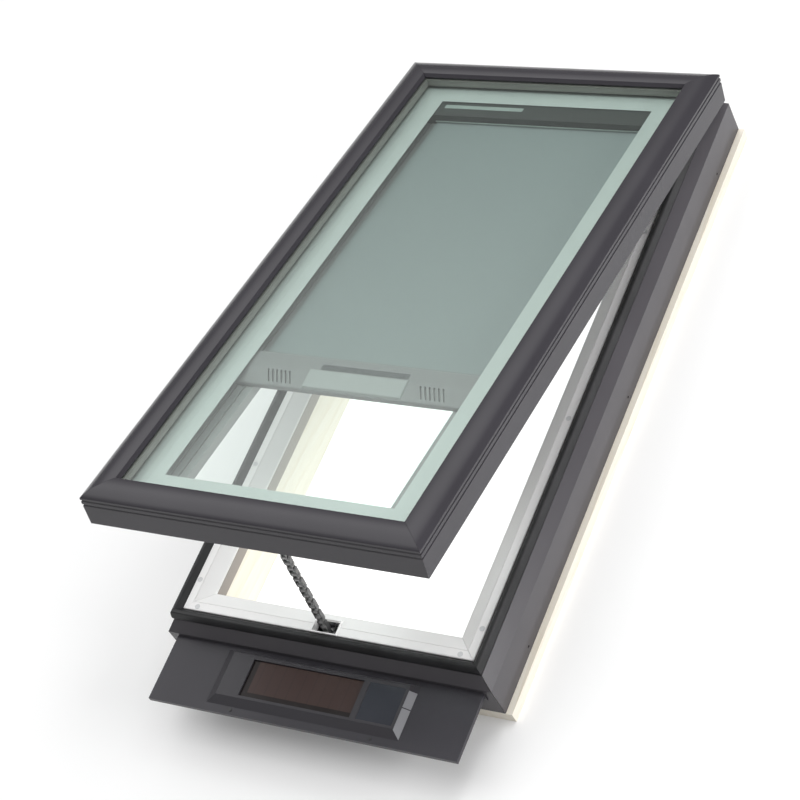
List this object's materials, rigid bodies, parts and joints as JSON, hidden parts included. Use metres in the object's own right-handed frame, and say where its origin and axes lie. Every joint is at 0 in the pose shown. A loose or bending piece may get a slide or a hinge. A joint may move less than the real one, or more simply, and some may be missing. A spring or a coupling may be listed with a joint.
{
  "type": "curb-mounted venting roof skylight with blind",
  "caption": "Roof skylight with a pine and aluminium base, a top-hinged glazed sash opened by a chain, a roller blind and a solar apron.",
  "frame": {"origin": "centre of the light opening, on the plane of the pine base's underside", "axes": "+X across the skylight, +Y up the roof towards the hinges, +Z away from the roof"},
  "size_m": [0.684, 1.4245, 0.482],
  "materials": {
    "pine": "clear lacquered pine, fine long grain",
    "white_profile": "white extruded profile, satin",
    "skirt_aluminium": "grey powder coat on aluminium sheet",
    "cladding_aluminium": "dark grey powder coat on aluminium",
    "black_seal": "matt black rubber",
    "black_plastic": "matt black",
    "grey_plastic": "warm grey, matt",
    "steel": "zinc plated",
    "chain_steel": "dark zinc plated steel",
    "battery_sleeve": "dark green sleeve",
    "apron_aluminium": "dark grey powder coat on folded sheet",
    "housing_plastic": "dark grey, fine texture",
    "solar_cell": "dark red-brown cells under clear cover",
    "sensor_glass": "smoked blue-grey pane",
    "pane_glass": "clear glass with a green tint and a pale enamel border",
    "spacer_metal": "mill finish",
    "cassette_metal": "dark grey paint",
    "rail_metal": "pale grey paint",
    "blind_cloth": "fine plain weave, pale grey",
    "bar_plastic": "pale grey, fine texture"
  },
  "bodies": {
    "frame": {"curb_front": "pine", "curb_back": "pine", "curb_left": "pine", "curb_right": "pine", "lining_front": "pine", "lining_back": "pine", "lining_left": "pine", "lining_right": "pine", "ledge_front": "white_profile", "ledge_back": "white_profile", "ledge_left": "white_profile", "ledge_right": "white_profile", "skirt_front": "skirt_aluminium", "skirt_back": "skirt_aluminium", "skirt_left": "skirt_aluminium", "skirt_right": "skirt_aluminium", "frame_gasket": "black_seal", "screen_band": "grey_plastic", "ledge_plugs": "white_profile", "actuator_case": "grey_plastic", "actuator_lid": "grey_plastic", "actuator_motor": "steel", "actuator_battery": "battery_sleeve", "chain_guide": "grey_plastic", "hinge_frame_leaves": "steel", "hinge_pins": "steel", "solar_apron": "apron_aluminium", "solar_housing": "housing_plastic", "solar_panel": "solar_cell", "sensor_pane": "sensor_glass", "apron_screws": "black_plastic"},
    "sash": {"cladding_front": "cladding_aluminium", "cladding_back": "cladding_aluminium", "cladding_left": "cladding_aluminium", "cladding_right": "cladding_aluminium", "sash_rail_front": "white_profile", "sash_rail_back": "white_profile", "sash_rail_left": "white_profile", "sash_rail_right": "white_profile", "outer_pane": "pane_glass", "inner_pane": "pane_glass", "pane_spacer": "spacer_metal", "glazing_tape": "black_seal", "glazing_seal": "black_seal", "sash_seal": "black_seal", "chain_bracket": "steel", "hinge_sash_leaves": "steel", "blind_cassette": "cassette_metal", "cassette_caps": "cassette_metal", "blind_motor": "steel", "blind_rails": "rail_metal", "blind_cloth": "blind_cloth"},
    "chain": {"chain_outer_links": "chain_steel", "chain_inner_links": "chain_steel"},
    "sprocket": {"drive_sprocket": "steel"},
    "blind_bar": {"blind_bar": "bar_plastic", "bar_caps": "bar_plastic", "bar_shoes": "black_plastic", "bar_battery": "battery_sleeve"},
    "roller": {"blind_roller": "blind_cloth"}
  },
  "joints": [
    {"name": "sash_hinge", "type": "hinge", "parent": "frame", "child": "sash", "pos_m": [0, 0.6015, 0.141], "axis": [1, 0, 0], "range_deg": [0, 13.47]},
    {"name": "chain_lean", "type": "hinge", "parent": "frame", "child": "chain", "pos_m": [0, -0.6015, 0.119], "axis": [1, 0, 0], "range_deg": [0, 6.16], "deforming": ["chain_outer_links", "chain_inner_links"]},
    {"name": "sprocket_spin", "type": "hinge", "parent": "frame", "child": "sprocket", "pos_m": [0, -0.587, 0.1], "axis": [1, 0, 0], "range_deg": [0, 1702.1]},
    {"name": "blind_slide", "type": "slide", "parent": "sash", "child": "blind_bar", "axis": [0, -0.9725, 0.2329], "range_m": [-0.705, 0.265], "deforming": ["blind_cloth"]},
    {"name": "roller_spin", "type": "hinge", "parent": "sash", "child": "roller", "pos_m": [0, 0.54497, 0.15763], "axis": [1, 0, 0], "range_deg": [-3108.2, 1169]}
  ],
  "couplings": [
    {"joint": "chain_lean", "follows": "sash_hinge", "ratio": 0.45677},
    {"joint": "sprocket_spin", "follows": "sash_hinge", "ratio": 126.29},
    {"joint": "roller_spin", "follows": "blind_slide", "rad_per_m": 76.923}
  ]
}
